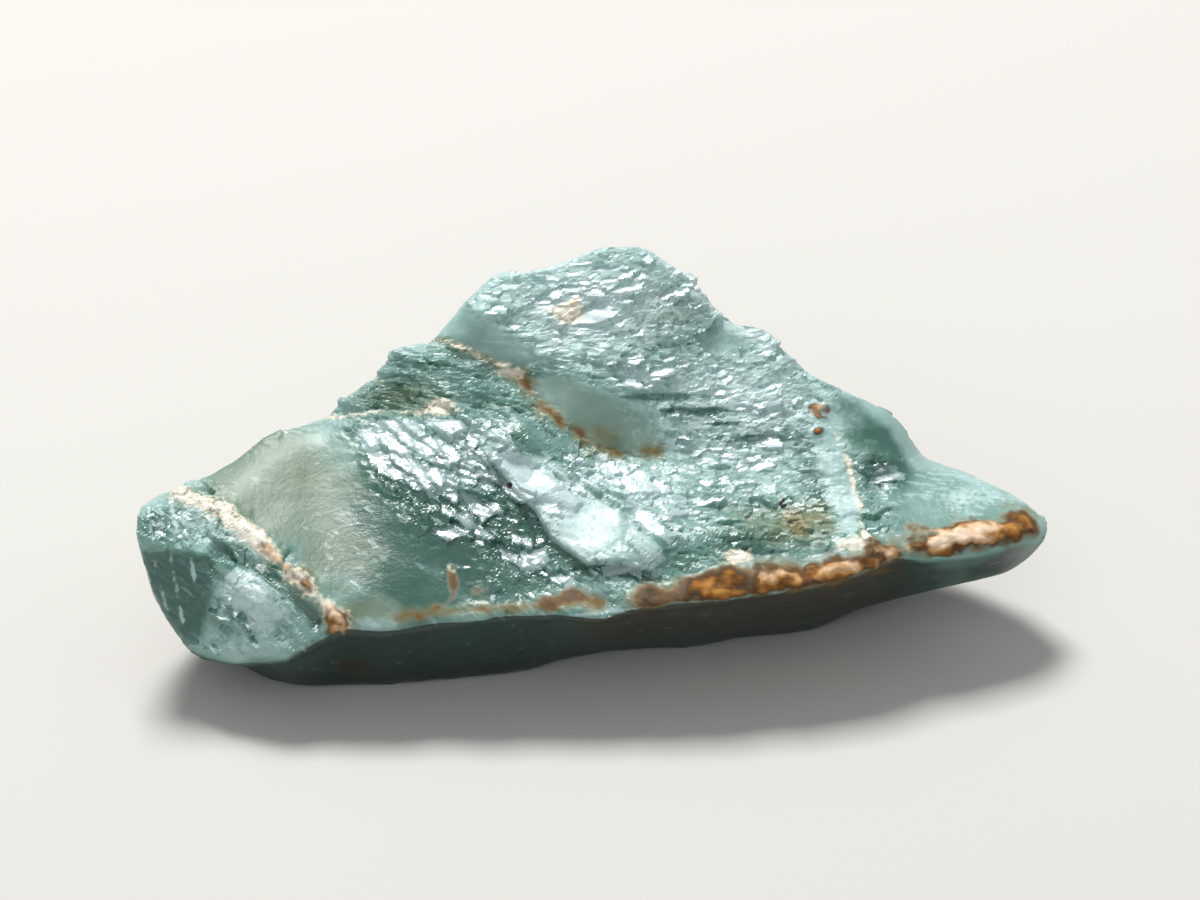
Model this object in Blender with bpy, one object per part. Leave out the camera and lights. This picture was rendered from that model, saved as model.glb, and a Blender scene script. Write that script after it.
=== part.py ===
"""Raw grandidierite: one natural crystal fragment, broken along its cleavage, lying on its flattest face.

The stone is lofted along its length from eight long edges, each read as a chain of corners. Fracture planes
then trim its back and ends, and ledges, seams and crusted lumps are raised on the side that is turned up.
Everything is in millimetres until the last step. X runs along the stone, Y goes from its front to its back,
Z is up, and Y is measured from the foot of the front face until the stone is centred.
"""

import bmesh
import bpy
import numpy as np
from mathutils import Vector, noise

METRE = 0.001
STONE_LENGTH = 22.0
HALF_LENGTH = STONE_LENGTH / 2
SLICE_STEP = 0.2
GRAIN = 0.11
TRIANGLES = 7000

# The broken face looks up and forward at this angle. Relief on it is raised along this direction, and is placed
# by x and by its rise across that face.
FACE_TILT = np.radians(35.0)
FACE_OUT = np.array([0.0, -np.cos(FACE_TILT), np.sin(FACE_TILT)])
FACE_UP = np.array([0.0, np.sin(FACE_TILT), np.cos(FACE_TILT)])

# The corners of each long edge, as (x, y, z).
FOOT_FRONT = [
    (-11.0, 1.3, 3.9), (-10.6, 0.9, 2.4), (-10.1, 0.9, 1.4), (-9.4, 1.1, 0.7), (-8.8, 1.0, 0.2),
    (-8.3, 0.84, 0.0), (-7.86, 0.33, 0.0), (-6.8, 0.0, 0.0), (-4.6, 0.12, 0.0), (-2.7, 0.42, 0.0),
    (-1.5, 0.67, 0.0), (-0.8, 1.1, 0.0), (0.4, 1.5, 0.0), (2.6, 1.67, 0.0), (3.4, 2.0, 0.0),
    (4.8, 2.2, 0.0), (5.5, 2.4, 0.0), (6.4, 2.6, 0.4), (8.6, 2.6, 1.06), (10.05, 2.7, 1.37),
    (10.65, 2.9, 1.73), (11.0, 3.0, 2.2),
]
FRONT_RIDGE = [
    (-11.0, 0.98, 4.2), (-10.87, 0.57, 3.8), (-10.6, 0.12, 2.8), (-10.1, -0.24, 2.0), (-9.8, -0.55, 1.5),
    (-9.4, -0.9, 1.4), (-8.5, -1.18, 1.5), (-8.0, -1.26, 1.85), (-7.26, -1.42, 1.75), (-6.8, -1.27, 2.0),
    (-5.9, -1.06, 2.5), (-5.1, -1.22, 2.5), (-3.87, -1.03, 2.6), (-1.73, -0.85, 2.7), (-0.8, -0.91, 2.7),
    (0.12, -0.99, 2.65), (1.1, -0.72, 2.75), (2.9, -0.55, 2.85), (4.1, -0.29, 2.9), (5.13, -0.03, 2.95),
    (6.44, 0.39, 3.05), (7.3, 0.92, 3.2), (7.9, 0.95, 3.0), (9.3, 1.35, 2.9), (10.26, 1.86, 2.85),
    (11.0, 2.48, 2.9),
]
SHOULDER = [
    (-11.0, 1.0, 4.3), (-10.3, 0.6, 3.9), (-9.8, 0.4, 3.83), (-9.06, 0.3, 3.7), (-8.2, 0.1, 3.5),
    (-7.26, -0.4, 3.3), (-6.5, -0.75, 2.9), (-5.9, -0.7, 2.8), (-4.0, 0.4, 3.4), (-1.0, 0.6, 3.5),
    (2.0, 0.8, 3.6), (4.1, 1.0, 3.5), (6.5, 1.5, 3.5), (8.0, 1.6, 3.25), (9.8, 1.9, 3.1), (11.0, 2.6, 2.95),
]
RISER_FOOT = [
    (-11.0, 1.2, 4.3), (-9.8, 1.3, 4.0), (-9.06, 1.5, 3.85), (-8.2, 1.5, 3.75), (-7.3, 2.2, 3.95),
    (-6.4, 3.2, 4.2), (-4.9, 4.4, 5.1), (-3.94, 5.3, 6.2), (-2.9, 5.2, 6.2), (-1.7, 4.9, 5.7),
    (-1.1, 4.5, 5.25), (-0.4, 4.05, 4.7), (0.43, 3.8, 4.4), (1.4, 3.8, 4.25), (2.6, 3.9, 4.1),
    (4.2, 3.6, 3.85), (5.4, 3.1, 3.6), (6.5, 2.8, 3.5), (8.0, 2.7, 3.35), (9.8, 2.5, 3.2), (11.0, 2.7, 2.95),
]
RISER_TOP = [
    (-11.0, 1.4, 4.3), (-9.8, 1.9, 4.15), (-9.06, 2.5, 4.0), (-8.2, 2.7, 4.2), (-7.3, 3.5, 4.45),
    (-6.4, 4.0, 4.55), (-4.9, 5.1, 5.7), (-3.94, 5.6, 6.2), (-2.9, 5.6, 6.95), (-1.7, 5.35, 6.4),
    (-0.4, 4.7, 5.85), (0.43, 4.4, 5.5), (1.4, 4.4, 5.0), (2.6, 4.5, 4.7), (4.2, 4.5, 4.5),
    (5.4, 4.4, 4.2), (6.5, 4.3, 4.15), (7.5, 4.0, 3.75), (8.0, 3.9, 3.45), (9.8, 3.4, 3.3), (11.0, 2.85, 2.9),
]
RIM = [
    (-11.0, 1.6, 4.15), (-10.3, 2.2, 4.27), (-9.4, 3.0, 4.12), (-8.6, 3.6, 4.3), (-7.9, 4.2, 4.63),
    (-7.3, 4.5, 4.7), (-6.4, 4.7, 4.7), (-6.1, 5.0, 5.1), (-5.5, 5.2, 5.4), (-4.9, 5.6, 6.1),
    (-4.1, 5.7, 6.15), (-3.3, 6.3, 6.8), (-2.9, 6.6, 7.1), (-2.45, 6.9, 7.4), (-1.1, 7.1, 7.6),
    (-0.4, 7.2, 7.8), (0.0, 7.3, 7.95), (0.8, 7.4, 8.05), (1.5, 7.4, 7.9), (2.1, 7.2, 7.4),
    (2.6, 7.1, 7.1), (3.0, 6.9, 6.5), (4.2, 6.5, 6.07), (4.9, 6.2, 5.55), (5.2, 6.0, 5.2),
    (6.56, 5.6, 4.75), (7.2, 5.4, 4.64), (7.5, 5.3, 4.3), (8.0, 4.8, 3.47), (9.8, 4.3, 3.15),
    (10.8, 3.7, 2.9), (11.0, 3.0, 2.72),
]
BACK_BULGE = [
    (-11.0, 1.9, 4.05), (-10.3, 2.9, 3.6), (-8.6, 4.6, 3.0), (-6.4, 6.3, 3.2), (-4.0, 7.7, 3.7),
    (-1.0, 8.8, 4.4), (1.0, 8.9, 4.4), (3.0, 8.4, 3.6), (5.5, 7.2, 2.9), (8.0, 5.8, 2.2), (9.8, 4.9, 2.2),
    (11.0, 3.2, 2.5),
]
FOOT_BACK = [
    (-11.0, 1.7, 3.9), (-10.6, 2.1, 2.8), (-10.1, 2.6, 1.9), (-9.4, 3.1, 1.0), (-8.3, 3.6, 0.0),
    (-6.0, 5.4, 0.0), (-3.0, 6.9, 0.0), (0.0, 7.6, 0.0), (3.0, 7.1, 0.0), (5.0, 5.9, 0.0), (6.4, 5.3, 0.5),
    (8.6, 4.6, 1.2), (10.05, 4.0, 1.6), (11.0, 3.2, 2.3),
]
# The edges in order round a slice, each with the number of steps to the next one.
EDGES = [
    (FOOT_FRONT, 18), (FRONT_RIDGE, 13), (SHOULDER, 26), (RISER_FOOT, 9), (RISER_TOP, 22), (RIM, 22),
    (BACK_BULGE, 24), (FOOT_BACK, 20),
]

# Flat fractures that trim the stone, as (a point on the plane, its outward direction).
FRACTURES = [
    ((-10.75, 1.6, 3.2), (-1.0, 0.1, -0.25)),
    ((-9.6, 3.0, 2.6), (-0.75, 0.75, -0.2)),
    ((-6.2, 6.0, 3.6), (-0.45, 0.9, 0.12)),
    ((-2.6, 8.0, 4.2), (-0.28, 0.9, 0.3)),
    ((1.6, 8.55, 4.6), (0.12, 0.95, 0.25)),
    ((4.6, 7.3, 3.6), (0.5, 0.82, 0.3)),
    ((8.6, 5.2, 2.7), (0.6, 0.8, 0.1)),
    ((0.0, 7.75, 1.6), (0.05, 0.88, -0.42)),
]

# Ledges and seams on the raised side, as corners (x, rise) along each.
LUMP_SEAM = [(-9.5, 5.1), (-9.06, 4.76), (-8.2, 3.9), (-7.26, 3.2), (-6.5, 2.36), (-5.95, 1.5)]
LUMP_CRACK = [(-9.6, 3.7), (-8.6, 3.3), (-7.9, 2.95), (-7.1, 2.3), (-6.5, 1.75)]
LUMP_TOP = [(-11.0, 3.35), (-10.2, 3.3), (-9.3, 3.2)]
LUMP_BUMP = (-7.95, 2.2)
LUMP_LIPS = [(-8.7, 0.95), (-7.5, 1.0)]
LOWER_LEDGE = [(-6.7, 6.42), (-5.1, 6.62), (-3.5, 6.75), (-2.6, 6.5)]
RISER_CREASE = [(-3.94, 8.45), (-2.9, 8.05), (-1.7, 7.45), (-1.1, 6.85), (-0.4, 6.15), (0.43, 5.75), (1.4, 5.6)]
FLAKE_EDGE = [(-2.45, 5.5), (-1.85, 4.76), (-1.37, 4.28), (-0.77, 3.56), (0.2, 2.96), (1.3, 3.08)]
PALE_SEAM = [(5.3, 6.3), (5.6, 5.5), (5.96, 4.5), (6.35, 3.4)]
TIP_CREASE = [(8.0, 5.6), (7.5, 5.05), (6.9, 4.8)]
CRUST_LEFT = [(-3.6, 1.75), (-1.7, 1.95), (-0.6, 1.95)]
CRUST_MIDDLE = [(1.0, 2.0), (2.9, 2.4), (4.0, 2.65)]
CRUST_RIGHT = [(4.4, 2.6), (5.0, 2.5), (5.9, 2.9), (7.1, 3.35)]
CRUST_TIP = [(7.9, 3.55), (8.8, 3.75), (10.3, 4.0)]

# The cleavages, as (direction that the planes face, distance between planes, how fully the surface steps to them).
CLEAVAGES = [
    ((0.2, -0.3, 0.93), 0.3, 0.42),
    ((0.1, 0.96, 0.2), 0.62, 0.85),
    ((-0.85, -0.45, 0.1), 0.45, 0.7),
]
# The cleavage steps wander by these shares of a step, each over a length in millimetres.
STEP_WANDER = [(1.0, 2.6), (0.22, 0.9)]
FOOT_CLEARANCE = 0.06


def clear_scene():
    for obj in list(bpy.data.objects):
        bpy.data.objects.remove(obj, do_unlink=True)


def edge_at(corners, x):
    """The point of a long edge in the slice at x."""
    along, depth, height = np.array(corners).T
    return np.array([x, np.interp(x, along, depth), np.interp(x, along, height)])


def slice_at(x):
    """The stone's outline in the slice at x, from the foot of the front face over the top to the back foot."""
    corners = [edge_at(corners, x) for corners, _ in EDGES]
    ring = []
    for index, (_, steps) in enumerate(EDGES):
        start = corners[index]
        end = corners[(index + 1) % len(EDGES)]
        ring += [start + (end - start) * step / steps for step in range(steps)]
    return ring


def lofted_stone():
    """A closed mesh through slices that stand SLICE_STEP apart."""
    mesh = bmesh.new()
    count = round(STONE_LENGTH / SLICE_STEP)
    rings = []
    for index in range(count + 1):
        x = -HALF_LENGTH + STONE_LENGTH * index / count
        rings.append([mesh.verts.new(point) for point in slice_at(x)])
    around = len(rings[0])
    for near, far in zip(rings, rings[1:]):
        for index in range(around):
            following = (index + 1) % around
            mesh.faces.new((near[index], near[following], far[following], far[index]))
    mesh.faces.new(rings[0][::-1])
    mesh.faces.new(rings[-1])
    bmesh.ops.recalc_face_normals(mesh, faces=mesh.faces)
    return mesh


def with_modifier(mesh, kind, settings):
    """The mesh after one modifier, which frees the mesh that it is given."""
    data = bpy.data.meshes.new("draft")
    mesh.to_mesh(data)
    mesh.free()
    draft = bpy.data.objects.new("draft", data)
    bpy.context.scene.collection.objects.link(draft)
    modifier = draft.modifiers.new("modifier", kind)
    for name, value in settings.items():
        setattr(modifier, name, value)
    graph = bpy.context.evaluated_depsgraph_get()
    result = bmesh.new()
    result.from_mesh(draft.evaluated_get(graph).to_mesh())
    bpy.data.objects.remove(draft)
    return result


def flatten_foot(mesh):
    """Lays everything near the ground on one plane, which is the face that the stone rests on."""
    for vert in mesh.verts:
        if vert.co.z < FOOT_CLEARANCE:
            vert.co.z = 0.0


def trim_to_fractures(mesh):
    """Presses what stands outside a fracture plane back onto it."""
    for point, direction in FRACTURES:
        outward = Vector(direction).normalized()
        for vert in mesh.verts:
            over = (vert.co - Vector(point)).dot(outward)
            if over > 0:
                vert.co -= outward * over


def beside(chain, x, rise):
    """Signed distance from each (x, rise) to a chain of corners, positive on its left, and how far past its end."""
    nearest = np.full(x.shape, np.inf)
    signed = np.zeros(x.shape)
    past = np.zeros(x.shape)
    for (ax, ay), (bx, by) in zip(chain, chain[1:]):
        dx, dy = bx - ax, by - ay
        length = np.hypot(dx, dy)
        along = ((x - ax) * dx + (rise - ay) * dy) / length
        inside = np.clip(along, 0, length)
        away = np.hypot(x - ax - inside * dx / length, rise - ay - inside * dy / length)
        side = np.sign(dx * (rise - ay) - dy * (x - ax))
        closer = away < nearest
        nearest = np.where(closer, away, nearest)
        signed = np.where(closer, side * away, signed)
        past = np.where(closer, np.abs(along - inside), past)
    return signed, past


def ridge(chain, x, rise, width):
    """1 along a chain, falling to 0 over about its width."""
    signed, _ = beside(chain, x, rise)
    return np.exp(-((signed / width) ** 2))


def ledge(chain, x, rise, reach, edge=0.1):
    """A step along a chain: up on its left, level again within its reach, and unchanged on its right."""
    signed, past = beside(chain, x, rise)
    return (0.5 + 0.5 * np.tanh(signed / edge)) * np.exp(-np.abs(signed) / reach - (past / 0.5) ** 2)


def bump(centre, x, rise, wide, high):
    """A round bump, wide by high."""
    return np.exp(-(((x - centre[0]) / wide) ** 2) - ((rise - centre[1]) / high) ** 2)


def raised_relief(x, rise):
    """How far the ledges, seams and crusts stand out of the face, in millimetres."""
    height = 0.16 * ridge(LUMP_SEAM, x, rise, 0.2)
    height -= 0.34 * ridge(LUMP_CRACK, x, rise, 0.24)
    height += 0.22 * ledge(LUMP_TOP, x, rise, 0.8)
    height += 0.22 * bump(LUMP_BUMP, x, rise, 0.9, 0.5)
    for lip in LUMP_LIPS:
        height += 0.16 * bump(lip, x, rise, 0.5, 0.3)
    height -= 0.3 * ledge(LOWER_LEDGE, x, rise, 0.9)
    height -= 0.16 * ridge(RISER_CREASE, x, rise, 0.3)
    height += 0.26 * ledge(FLAKE_EDGE, x, rise, 2.2)
    height += 0.12 * ridge(PALE_SEAM, x, rise, 0.25)
    height -= 0.18 * ridge(TIP_CREASE, x, rise, 0.3)
    for crust, thickness in ((CRUST_LEFT, 0.08), (CRUST_MIDDLE, 0.2), (CRUST_RIGHT, 0.26), (CRUST_TIP, 0.28)):
        height += thickness * ridge(crust, x, rise, 0.32)
    return height


def stepped(level):
    """A level rounded down to whole numbers, with a short slope up to the next one."""
    whole = np.floor(level)
    return whole + np.clip((level - whole - 0.78) / 0.22, 0, 1)


def cleavage_shift(places, normals, wander):
    """Moves that lay the surface on flat cleavage planes wherever it runs nearly along them."""
    shift = np.zeros_like(places)
    for direction, spacing, strength in CLEAVAGES:
        facing = np.array(direction) / np.linalg.norm(direction)
        along = strength * np.clip((normals @ facing - 0.72) / 0.2, 0, 1)
        depth = places @ facing
        laid = spacing * (stepped(depth / spacing + wander) + 0.5 - wander)
        shift += (along * (laid - depth))[:, None] * facing
    return shift


def add_relief(mesh):
    """Raises the ledges on the side that faces out, and breaks the whole surface along its cleavage."""
    mesh.normal_update()
    places = np.array([vert.co for vert in mesh.verts])
    normals = np.array([vert.normal for vert in mesh.verts])
    facing = np.clip((normals @ FACE_OUT - 0.1) / 0.35, 0, 1)
    height = raised_relief(places[:, 0], places @ FACE_UP) * facing
    wander = np.array(
        [sum(share * noise.noise(Vector(place) / length) for share, length in STEP_WANDER) for place in places]
    )
    above_foot = np.clip((places[:, 2] - FOOT_CLEARANCE) / 0.6, 0, 1)
    at_ends = np.clip((HALF_LENGTH - np.abs(places[:, 0])) / 0.6, 0, 1)
    rim = np.array([edge_at(RIM, x) for x in places[:, 0]])
    off_rim = np.clip(np.linalg.norm(places - rim, axis=1) / 0.8, 0.15, 1)
    moved = places + height[:, None] * FACE_OUT
    moved += cleavage_shift(places, normals, wander) * (above_foot * at_ends * off_rim)[:, None]
    moved[:, 2] = np.where(places[:, 2] > 0, np.maximum(moved[:, 2], 0.03), 0.0)
    for vert, place in zip(mesh.verts, moved):
        vert.co = place


def stone_material():
    """Translucent blue-green stone with a glassy broken surface."""
    material = bpy.data.materials.new("grandidierite")
    material.use_nodes = True
    shader = material.node_tree.nodes["Principled BSDF"]
    shader.inputs["Base Color"].default_value = (0.22, 0.36, 0.31, 1.0)
    shader.inputs["Roughness"].default_value = 0.3
    shader.inputs["Metallic"].default_value = 0.0
    return material


def stand_at_origin(mesh):
    """Puts the middle of the stone's foot at the origin, and turns millimetres into metres."""
    places = np.array([vert.co for vert in mesh.verts])
    low, high = places.min(axis=0), places.max(axis=0)
    places -= [(low[0] + high[0]) / 2, (low[1] + high[1]) / 2, low[2]]
    for vert, place in zip(mesh.verts, places * METRE):
        vert.co = place


def make_stone():
    mesh = lofted_stone()
    mesh = with_modifier(mesh, "REMESH", {"mode": "VOXEL", "voxel_size": GRAIN})
    trim_to_fractures(mesh)
    flatten_foot(mesh)
    add_relief(mesh)
    triangles = 2 * len(mesh.faces)
    mesh = with_modifier(mesh, "DECIMATE", {"ratio": TRIANGLES / triangles, "use_collapse_triangulate": True})
    stand_at_origin(mesh)
    data = bpy.data.meshes.new("grandidierite")
    mesh.to_mesh(data)
    mesh.free()
    data.materials.append(stone_material())
    stone = bpy.data.objects.new("grandidierite", data)
    bpy.context.scene.collection.objects.link(stone)


clear_scene()
make_stone()
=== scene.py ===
from collections import namedtuple

import bmesh
import bpy
import numpy as np
from mathutils import Matrix, Vector, kdtree, noise


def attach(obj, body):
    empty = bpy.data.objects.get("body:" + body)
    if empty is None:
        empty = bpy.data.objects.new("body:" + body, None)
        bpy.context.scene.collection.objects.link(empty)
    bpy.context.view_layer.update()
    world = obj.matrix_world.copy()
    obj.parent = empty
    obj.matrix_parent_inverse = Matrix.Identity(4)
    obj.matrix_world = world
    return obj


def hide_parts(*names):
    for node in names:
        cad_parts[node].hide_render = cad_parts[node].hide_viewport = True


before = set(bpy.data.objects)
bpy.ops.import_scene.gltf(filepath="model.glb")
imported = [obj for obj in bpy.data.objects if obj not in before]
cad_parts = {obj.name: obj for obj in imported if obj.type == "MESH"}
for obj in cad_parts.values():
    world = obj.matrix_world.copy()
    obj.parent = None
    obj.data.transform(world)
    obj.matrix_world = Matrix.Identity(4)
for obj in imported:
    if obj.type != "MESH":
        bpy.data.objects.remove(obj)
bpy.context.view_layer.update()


def unit(vector):
    return np.asarray(vector, float) / np.linalg.norm(vector)


# Lengths are in millimetres and turned into metres at the end. A place on the broken face is given by x and
# by its rise, the height across that face from the foot of the stone's front.
METRE = 0.001
FOOT_LINE = -3.79
FACE_TILT = np.radians(35.0)
FACE_OUT = np.array([0.0, -np.cos(FACE_TILT), np.sin(FACE_TILT)])
FACE_UP = np.array([0.0, np.sin(FACE_TILT), np.cos(FACE_TILT)])

# The way that the cleavage plane faces, on which the treads of the broken face lie.
CLEAVAGE = unit((-0.08, -0.22, 0.97))
# The way into the stone, square to its undercut front.
UNDERCUT_IN = unit((0.0, 0.88, 0.47))
# What faces away from this direction counts as the underside.
LEAN = unit((0.0, 0.35, 1.0))

# The width of the skin's quads, and the skin's area in square millimetres.
GRAIN = 0.116
SKIN_AREA = 460.0
# The chips, as the width across the grain and the length along it. The real ones go down to some 0.05 mm,
# and the narrow ones are the smallest that the skin can show.
NARROW_CHIP = (0.15, 0.32)
WIDE_CHIP = (0.3, 0.6)
LARGE_CHIP = (0.9, 2.0)
# No chip stands out or lies in by more than this.
CHIP_DEPTH = 0.14
FACET_DEPTH = 0.12
FLAKE_STEP = 0.16
LUMP_STEP = 0.05
CLEFT_DEPTH = 0.12
# The cells of cleavage in the material, along, across and into the grain.
CELL = (0.34, 0.1, 0.1)


def ramp(value, low, high):
    """0 below low, 1 above high, and an even slope between."""
    return np.clip((value - low) / (high - low), 0, 1)


# The skin of the stone


def even_skin():
    """The stone's solid as an even skin of small quads, in millimetres."""
    mesh = bmesh.new()
    mesh.from_mesh(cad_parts["grandidierite"].data)
    bmesh.ops.remove_doubles(mesh, verts=mesh.verts, dist=1e-7)
    bmesh.ops.scale(mesh, vec=(1 / METRE,) * 3, verts=mesh.verts)
    solid = bpy.data.meshes.new("solid")
    mesh.to_mesh(solid)
    mesh.free()
    draft = bpy.data.objects.new("draft", solid)
    bpy.context.scene.collection.objects.link(draft)
    remesh = draft.modifiers.new("skin", "REMESH")
    remesh.mode = "VOXEL"
    remesh.voxel_size = GRAIN
    graph = bpy.context.evaluated_depsgraph_get()
    skin = bpy.data.meshes.new_from_object(draft.evaluated_get(graph))
    bpy.data.objects.remove(draft)
    return skin


def halve_grain(skin, smooth):
    """Cuts the quads of the broken face in four where it isn't smooth, so that its chips come out crisp."""
    mesh = bmesh.new()
    mesh.from_mesh(skin)
    out = Vector(FACE_OUT)
    broken = [
        face for face in mesh.faces if face.normal.dot(out) > 0.3 and smooth[face.verts[0].index] < 0.8
    ]
    edges = {edge for face in broken for edge in face.edges}
    bmesh.ops.subdivide_edges(mesh, edges=list(edges), cuts=1, use_grid_fill=True)
    mesh.to_mesh(skin)
    mesh.free()


def places_of(mesh):
    flat = np.empty(len(mesh.vertices) * 3, np.float32)
    mesh.vertices.foreach_get("co", flat)
    return flat.reshape(-1, 3).astype(float)


def normals_of(mesh):
    flat = np.empty(len(mesh.vertices) * 3, np.float32)
    mesh.vertex_normals.foreach_get("vector", flat)
    return flat.reshape(-1, 3).astype(float)


def edges_of(mesh):
    flat = np.empty(len(mesh.edges) * 2, np.int32)
    mesh.edges.foreach_get("vertices", flat)
    return flat.reshape(-1, 2)


def put_places(mesh, places):
    mesh.vertices.foreach_set("co", places.astype(np.float32).ravel())
    mesh.update()


def neighbour_mean(values, edges):
    """The mean of each point's neighbours, column by column."""
    both = np.concatenate([edges, edges[:, ::-1]])
    count = np.bincount(both[:, 0], minlength=len(values))
    sums = [
        np.bincount(both[:, 0], weights=column[both[:, 1]], minlength=len(values)) for column in values.T
    ]
    return (np.array(sums) / count).T


def relaxed(values, edges, rounds, share=0.5):
    """The values drawn towards their neighbours' mean, round by round."""
    for _ in range(rounds):
        values = values + share * (neighbour_mean(values, edges) - values)
    return values


def cloud(places, length, depth=1):
    """Soft noise from about -1 to 1 over a length in millimetres, with finer noise for each further depth."""
    total = np.zeros(len(places))
    for octave in range(depth):
        scaled = places * (2**octave / length) + 17.3 * octave
        total += np.array([noise.noise(place) for place in scaled.tolist()]) / 2**octave
    return total * 1.6


def beside(chain, x, rise):
    """Signed distance to a chain of corners, positive on its left, and how far past the end of the chain."""
    nearest = np.full(x.shape, np.inf)
    signed = np.zeros(x.shape)
    past = np.zeros(x.shape)
    for (ax, ay), (bx, by) in zip(chain, chain[1:]):
        dx, dy = bx - ax, by - ay
        length = np.hypot(dx, dy)
        along = ((x - ax) * dx + (rise - ay) * dy) / length
        inside = np.clip(along, 0, length)
        away = np.hypot(x - ax - inside * dx / length, rise - ay - inside * dy / length)
        side = np.sign(dx * (rise - ay) - dy * (x - ax))
        closer = away < nearest
        nearest = np.where(closer, away, nearest)
        signed = np.where(closer, side * away, signed)
        past = np.where(closer, np.abs(along - inside), past)
    return signed, past


def band(chain, x, rise, width):
    """1 on a chain, 0 at its width to either side."""
    signed, _ = beside(chain, x, rise)
    return np.clip(1 - np.abs(signed) / width, 0, 1)


def patch(x, rise, centre, wide, high):
    """1 in the middle of an oval, 0 at its edge."""
    return np.clip(1 - np.hypot((x - centre[0]) / wide, (rise - centre[1]) / high), 0, 1)


def field(corners, x, rise, soft):
    """1 inside a ring of corners, 0 outside, with an edge as soft as given in millimetres."""
    signed, _ = beside(corners + corners[:1], x, rise)
    inside = np.zeros(x.shape, bool)
    for (ax, ay), (bx, by) in zip(corners, corners[1:] + corners[:1]):
        crosses = (ay > rise) != (by > rise)
        inside ^= crosses & (x < ax + (rise - ay) * (bx - ax) / (by - ay + 1e-9 * (by == ay)))
    depth = np.where(inside, np.abs(signed), -np.abs(signed))
    return ramp(depth, -soft, soft)


def across_face(places):
    """x and rise of every point."""
    return places[:, 0], (places - [0, FOOT_LINE, 0]) @ FACE_UP


def grain_of(places):
    """Each point's place along, across and into the grain.

    The grain runs down to the right on the left half of the broken face, and level on its right half and at
    the peak.
    """
    x, rise = across_face(places)
    bend = -0.8 * 1.2 * np.log1p(np.exp((1.2 - x) / 1.2))
    across = rise + bend * (1 - ramp(rise, 6.4, 8.6))
    return np.stack([x - 0.35 * rise, across, places @ FACE_OUT], axis=1)


def chips(places, normals, size, share, jitter, seed):
    """Breaks the skin into flat chips that lie along the grain, of a width and a length.

    The share of them lies on the cleavage plane, and the others are tilted any way by the jitter. Gives the
    height of each point, and 1 on the chips that lie on the plane.
    """
    across, along = size
    rng = np.random.default_rng(seed)
    wobble = np.stack([cloud(places + 31.7 * axis, 0.5 * across + 0.1) for axis in range(3)], axis=1)
    metric = grain_of(places) / (along, across, across) + 0.22 * wobble
    weight = np.where(normals @ FACE_OUT > 0.3, 1.0, 4.0)
    count = int(SKIN_AREA / (across * along))
    centres = rng.choice(len(places), count, replace=False, p=weight / weight.sum())
    tree = kdtree.KDTree(count)
    for index, place in enumerate(metric[centres].tolist()):
        tree.insert(place, index)
    tree.balance()
    owner = np.array([tree.find(place)[1] for place in metric.tolist()])
    facing = normals[centres] @ CLEAVAGE
    level = (rng.random(count) < share[centres]) * ramp(facing, 0.45, 0.65)
    slope = (normals[centres] - CLEAVAGE / np.maximum(facing, 0.45)[:, None]) * level[:, None]
    slope += rng.normal(scale=jitter, size=(count, 3)) * (1 - 0.8 * level)[:, None]
    offset = places - places[centres][owner]
    return np.einsum("ij,ij->i", offset, slope[owner]), level[owner]


# Where each finish lies on the stone, by x and rise

SKYLINE = [
    (-11.0, 4.6), (-10.3, 4.76), (-8.6, 5.59), (-7.9, 6.2), (-6.4, 6.55), (-5.5, 7.4), (-4.9, 8.2),
    (-4.1, 8.3), (-3.3, 9.18), (-2.45, 10.0), (-1.1, 10.3), (0.0, 10.7), (0.8, 10.84), (1.5, 10.72),
    (2.1, 10.2), (3.0, 9.3), (4.2, 8.7), (5.2, 7.7), (6.56, 7.1), (7.5, 6.56), (8.0, 5.6), (9.8, 5.05),
    (10.8, 4.5), (11.0, 3.95),
]
# Where the broken face ends and the undercut front begins.
FRONT_EDGE = [
    (-11.0, 0.9), (-9.8, 0.9), (-8.5, 0.5), (-7.3, 0.6), (-5.95, 1.45), (-3.87, 1.58), (-2.2, 1.83),
    (0.2, 2.0), (2.6, 2.3), (4.1, 2.2), (5.4, 2.4), (6.4, 2.72), (7.3, 3.15), (7.9, 3.0), (9.3, 3.15),
    (11.0, 3.5),
]
# The cream vein at the left, and the lump beyond it.
UPPER_VEIN = [(-9.95, 4.7), (-9.06, 4.35), (-8.4, 3.9), (-7.75, 3.35)]
LOWER_VEIN = [(-7.85, 3.4), (-7.2, 2.85), (-6.6, 2.25), (-6.05, 1.7), (-5.95, 1.4)]
LUMP_EDGE = [(-11.0, 3.35), (-10.2, 3.3), (-9.1, 3.2)]
LUMP_CLEFT = [(-9.0, 3.35), (-8.4, 3.1), (-7.8, 2.75), (-7.1, 2.15), (-6.6, 1.6)]
LUMP_TOP = [
    (-9.9, 4.7), (-9.1, 4.7), (-7.9, 3.8), (-7.4, 3.1), (-7.8, 2.85), (-8.5, 3.2), (-9.4, 3.4), (-10.0, 4.0),
]
LUMP_PANEL = [(-11.2, 3.3), (-9.15, 3.25), (-9.1, 2.1), (-9.4, 1.0), (-10.3, 0.9), (-10.9, 2.1)]
LUMP_BUMP = [(-9.1, 2.7), (-8.4, 3.0), (-7.3, 2.6), (-6.7, 2.0), (-6.6, 1.5), (-8.0, 1.25), (-9.0, 1.6)]
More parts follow.
